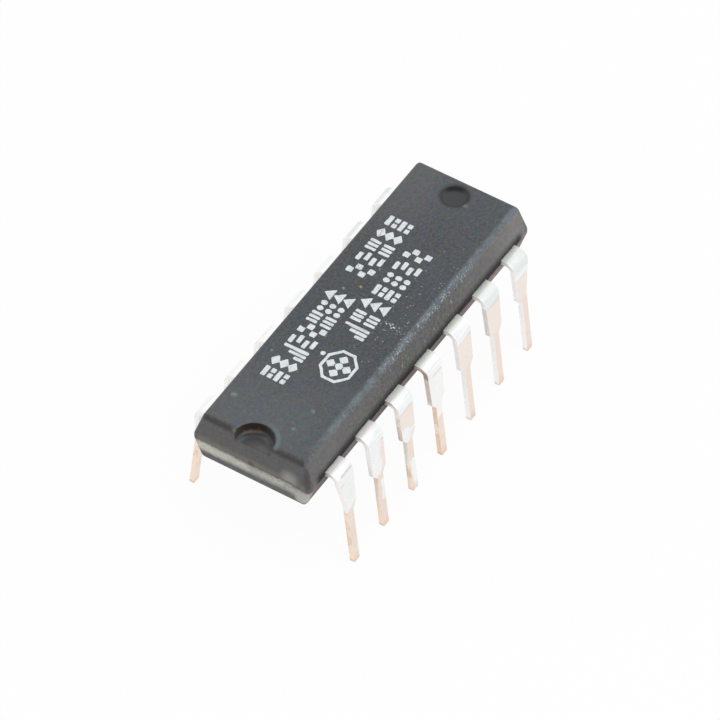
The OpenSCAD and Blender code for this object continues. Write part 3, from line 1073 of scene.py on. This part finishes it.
# %% [markdown]
# ## The tin
#
# The leads are dipped in tin, a soft satin metal that is nearly white. The bend shows fine lines along
# the lead's width, where the tool slid over it. They are a noise that is stretched along X, so that it
# only changes across the bend. They are fainter towards lead 1, and the last leads' bends are a little
# greyer. The flat part at the body is greyed by a painted reflection of the dark body, paler on the first
# two leads and nearly white in the far row.

# %% Plated faces
tree, shader = finish_for(plating, Metallic=1.0)
place = millimetres(tree)
x, y, z = add(tree, "SeparateXYZ", {0: place}).outputs
drawn = add(tree, "Mapping", {"Vector": place, "Scale": (0.5, 14, 14)}).outputs[0]
lines = noise(tree, drawn, 1.0, 3.0)["Fac"]
cloud = use(tree, grain, {"Place": place, "Fineness": 5.0, "Blotches": 0.9})
plain_tin = mix(tree, cloud["Tone"], linear(243, 244, 243), linear(250, 250, 249))
lined_tin = mix(tree, ramp(tree, lines, 0.4, 0.62), linear(239, 242, 243), linear(254, 254, 254))
on_bend = both(ramp(tree, z, 5.1, 5.4), ramp(tree, z, frame_top - 0.008, frame_top - 0.03))
on_bend = both(on_bend, ramp(tree, x, -6.5, -3.5, 0.45, 1.0))
colour = mix(tree, on_bend, plain_tin, lined_tin)
layer(both(on_bend, ramp(tree, x, 3.4, 4.4)), 0.6, 223, 231, 228)
# Painted reflection of the dark body on the flat part next to it.
exit_part = ramp(tree, z, frame_top - 0.03, frame_top - 0.008)
layer(exit_part, 0.8, 232, 238, 230)
layer(both(exit_part, ramp(tree, x, -3.0, -5.0)), 0.9, 246, 243, 244)
layer(both(exit_part, ramp(tree, y, 0, 1)), 0.9, 253, 253, 252)

# %% [markdown]
# A warm peach reflection of the floor is painted on the tin in patches, mostly on the pins, with a clear
# border to the white. A distorted noise grows such patches. To put them where they are on this chip, some
# places are made warmer or cooler before the border is drawn. A crease at the bend's lower end, the worn
# tips and a little grime come last.

# %% Painted reflection in patches, creases and grime
near_front = -body_w / 2 - 1
patches = noise(tree, place, 0.62, 1.0, distortion=0.7)["Fac"]
warmth = math_node(tree, "ADD", patches, ramp(tree, z, 3.9, 3.1, -0.04, 0.3))
for lead_x, lead_z, half_w, half_h, change in (
    (-7.62, 4.5, 0.5, 1.0, -0.25), (-5.3, 4.5, 0.3, 1.0, -0.25), (-4.6, 4.1, 0.22, 0.8, 0.3),
    (-2.54, 4.6, 0.5, 0.5, 0.3), (-2.85, 3.75, 0.2, 0.3, -0.3), (0, 4.5, 0.6, 1.0, -0.3),
    (3.9, 4.4, 2.0, 0.9, 0.4), (7.62, 3.9, 0.6, 0.8, 0.4), (-2.4, 0.9, 0.1, 0.9, -0.45),
    (-0.1, 2.95, 0.2, 0.3, -0.45), (-4.95, 2.3, 0.05, 0.5, -0.45),
):
    spot = within(tree, place, (lead_x, near_front, lead_z), (half_w, 0.8, half_h), 0.35)
    warmth = math_node(tree, "ADD", warmth, both(spot, change))
below_bend = ramp(tree, z, 5.4, 5.25)
# Painted warm reflection of the floor, warmer lower down the pins.
peach_reflection = mix(tree, ramp(tree, z, 3.7, 3.1), linear(243, 233, 225), linear(240, 223, 211))
peach_reflection = over(peach_reflection, cloud["Tone"], 0.4, 246, 234, 226)
colour = mix(tree, both(ramp(tree, warmth, 0.5, 0.55), below_bend), colour, peach_reflection)
only_z = add(tree, "CombineXYZ", {2: z}).outputs[0]
creased = both(within(tree, only_z, (0, 0, 5.26), (1, 1, 0), 0.05), ramp(tree, patches, 0.45, 0.6))
layer(creased, 0.75, 200, 184, 188)
layer(within(tree, place, (-7.5, -3.85, 5.74), (0.42, 0.3, 0.0), 0.07), 0.75, 208, 188, 196)
layer(ramp(tree, z, 0.7, 0.0), 0.5, 226, 190, 160)
layer(both(scatter(tree, place, 3.2, 0.25, 0.16), below_bend), 0.3, 176, 166, 160)
tree.links.new(colour, shader["Base Color"])
tree.links.new(ramp(tree, cloud["Blotch"], 0.0, 1.0, 0.26, 0.42), shader["Roughness"])
rub = add(tree, "Bump", {"Strength": 0.25, "Distance": 0.00002, "Height": both(lines, on_bend)})
tree.links.new(rub.outputs[0], shader["Normal"])

# %% [markdown]
# The punched sides were sheared before the tin went on. It is thin there, so the copper alloy warms it
# on the leads near the notch, most of all down their pins, while the others stay nearly white. Single
# sides have a tone of their own, from the brown crook of lead 4 to the white edge of lead 3, so they
# are named by their place.

# %% Sheared sides
tree, shader = finish_for(sheared, Metallic=1.0)
place = millimetres(tree)
x, y, z = add(tree, "SeparateXYZ", {0: place}).outputs
cloud = use(tree, grain, {"Place": place, "Fineness": 9.0, "Blotches": 0.8})
colour = mix(tree, cloud["Tone"], linear(232, 227, 220), linear(244, 240, 235))
only_x = add(tree, "CombineXYZ", {0: x}).outputs[0]
near_leads = within(tree, only_x, (-4, 0, 0), (4.66, 1, 1), 0.9)
white_leads = ramp(tree, x, -3.6, -4.4)
browned = both(both(ramp(tree, cloud["Blotch"], 0.4, 0.7), near_leads), ramp(tree, x, -4.4, -3.6))
low_down = both(ramp(tree, z, 3.4, 3.1), near_leads)
far_row = ramp(tree, y, 0, 1)
layer(browned, 0.75, 228, 206, 191)
layer(both(white_leads, ramp(tree, z, 3.0, 3.4)), 0.8, 253, 250, 250)
layer(low_down, 0.85, 252, 230, 208)
layer(both(low_down, ramp(tree, cloud["Blotch"], 0.5, 0.7)), 0.4, 214, 186, 166)
layer(ramp(tree, x, 1.2, 1.8), 0.8, 253, 252, 251)
layer(both(far_row, both(ramp(tree, x, -6.6, -5.8), ramp(tree, z, 3.4, 4.0))), 0.85, 254, 253, 252)
for side_x, side_z, half_h, tone in (
    (-0.6, 5.55, 0.15, (150, 128, 116)), (-0.6, 4.5, 0.7, (212, 196, 188)),
    (-3.14, 5.5, 0.3, (246, 245, 242)), (-2.77, 2.6, 0.9, (254, 250, 243)),
    (-5.31, 2.2, 0.6, (254, 238, 224)), (4.48, 4.4, 0.9, (218, 213, 205)),
    (1.94, 4.4, 0.9, (244, 242, 240)),
):
    layer(within(tree, place, (side_x, -4.2, side_z), (0.1, 0.9, half_h), 0.2), 0.8, *tone)
layer(ramp(tree, z, 0.3, 0.0), 0.6, 206, 160, 124)
tree.links.new(colour, shader["Base Color"])
tree.links.new(ramp(tree, cloud["Tone"], 0.0, 1.0, 0.35, 0.55), shader["Roughness"])

# %% [markdown]
# ## Hidden pieces
#
# The body hides the paddle, the bond layer, the chip and its wires. Their meshes come with the frame
# and are right as they are, so they only get the finish that each has before it is moulded in.

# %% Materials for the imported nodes
def hidden_finish(name, nodes, dark, light, fineness, metal, low_rough, high_rough):
    """A finish with a cloudy tone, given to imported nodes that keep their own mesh."""
    material = bpy.data.materials.new(name)
    tree, shader = finish_for(material, Metallic=metal)
    cloud = use(tree, grain, {"Place": millimetres(tree), "Fineness": fineness, "Blotches": 2.0})
    tree.links.new(mix(tree, cloud["Tone"], linear(*dark), linear(*light)), shader["Base Color"])
    tree.links.new(ramp(tree, cloud["Blotch"], 0.0, 1.0, low_rough, high_rough), shader["Roughness"])
    for node_name in nodes:
        mesh = frame["nodes"][node_name].data
        mesh.materials.clear()
        mesh.materials.append(material)


wires = [f"bond_wire_{number}" for number in range(1, 2 * row_pins + 1)]
hidden_finish("bare_frame_metal", ["die_paddle"], (84, 74, 69), (112, 100, 94), 8, 0.6, 0.5, 0.65)
hidden_finish("silver_bond_paste", ["die_attach"], (176, 176, 172), (204, 203, 198), 20, 0.6, 0.5, 0.7)
hidden_finish("silicon", ["silicon_die"], (60, 64, 76), (84, 88, 104), 6, 0.4, 0.15, 0.3)
hidden_finish("gold", wires, (212, 160, 70), (240, 196, 104), 30, 1.0, 0.2, 0.35)

# %% [markdown]
# ## Floor, light and camera
#
# The chip stands on its lead tips on a white floor under soft, even light. What the camera sees of the
# floor and the world is plain white at a strength of one, and so is what the tin reflects. Only a small
# share of the floor's own shading is left in, which keeps a faint shadow under the chip.

# %% Floor and world
def seen_directly(tree):
    """One for rays from the camera, off a glossy surface or through glass, else nought."""
    path = add(tree, "LightPath").outputs
    seen = math_node(tree, "MAXIMUM", path["Is Camera Ray"], path["Is Glossy Ray"])
    return math_node(tree, "MAXIMUM", seen, path["Is Transmission Ray"])


floor_half, floor_drop, shadow_share = 0.6, 0.00002, 0.055
bpy.ops.mesh.primitive_plane_add(size=2 * floor_half, location=(0, 0, -floor_drop))
floor = bpy.context.object
floor.name = "floor"
paper = bpy.data.materials.new("white_floor")
paper.use_nodes = True
tree = paper.node_tree
tree.nodes.clear()
matt = add(tree, "BsdfDiffuse", {"Color": (0.95, 0.95, 0.95, 1)}).outputs[0]
plain = add(tree, "Emission", {"Color": (1, 1, 1, 1), "Strength": 1.0}).outputs[0]
share = math_node(tree, "MULTIPLY", seen_directly(tree), 1 - shadow_share)
shown = add(tree, "MixShader", {0: share, 1: matt, 2: plain}).outputs[0]
add(tree, "OutputMaterial", {"Surface": shown})
floor.data.materials.append(paper)

world = bpy.data.worlds.new("studio")
bpy.context.scene.world = world
world.use_nodes = True
tree = world.node_tree
tree.nodes.clear()
room = add(tree, "Background", {"Color": (1, 1, 1, 1), "Strength": 0.75}).outputs[0]
white_room = add(tree, "Background", {"Color": (1, 1, 1, 1), "Strength": 1.0}).outputs[0]
shown = add(tree, "MixShader", {0: seen_directly(tree), 1: room, 2: white_room}).outputs[0]
add(tree, "OutputWorld", {"Surface": shown})

# %% [markdown]
# One large soft lamp stands to the right of the camera and a little higher, on the side of the near
# row, and lights its bends. It is weak, because the room already does most of the work.

# %% A soft lamp
aim = Vector((-1.571, -0.843, 5.85)) * MM


def direction(azimuth, elevation):
    """The way from the chip to a lamp or a camera, from two angles."""
    az, el = math.radians(azimuth), math.radians(elevation)
    return Vector((math.cos(el) * math.cos(az), math.cos(el) * math.sin(az), math.sin(el)))


def soft_lamp(name, azimuth, elevation, distance, size, power):
    """A square area lamp that looks at the chip."""
    way = direction(azimuth, elevation)
    bpy.ops.object.light_add(type="AREA", location=aim + way * distance)
    lamp = bpy.context.object
    lamp.name = name
    lamp.data.size = size
    lamp.data.energy = power
    lamp.rotation_mode = "QUATERNION"
    lamp.rotation_quaternion = (-way).to_track_quat("-Z", "Y")


soft_lamp("window", azimuth=-100, elevation=50, distance=0.5, size=0.5, power=0.9)

# %% [markdown]
# The camera stands where the photograph was taken from: a long lens from 49 degrees above, looking at
# the lead 1 end and the near row. Its place is found from the aim point, two angles and a distance.

# %% The camera
camera_azimuth, camera_elevation, camera_roll = -148.003, 49.1144, 0.386
camera_distance, camera_lens = 343.627 * MM, 373.07

back = direction(camera_azimuth, camera_elevation)
bpy.ops.object.camera_add(location=aim + back * camera_distance)
camera = bpy.context.object
camera.rotation_mode = "QUATERNION"
level = (-back).to_track_quat("-Z", "Y")
camera.rotation_quaternion = level @ Quaternion((0, 0, 1), math.radians(camera_roll))
camera.data.lens = camera_lens
camera.data.sensor_width = 36
camera.data.clip_start = 0.01
camera.data.clip_end = 10
bpy.context.scene.camera = camera
bpy.context.scene.view_settings.view_transform = "Standard"
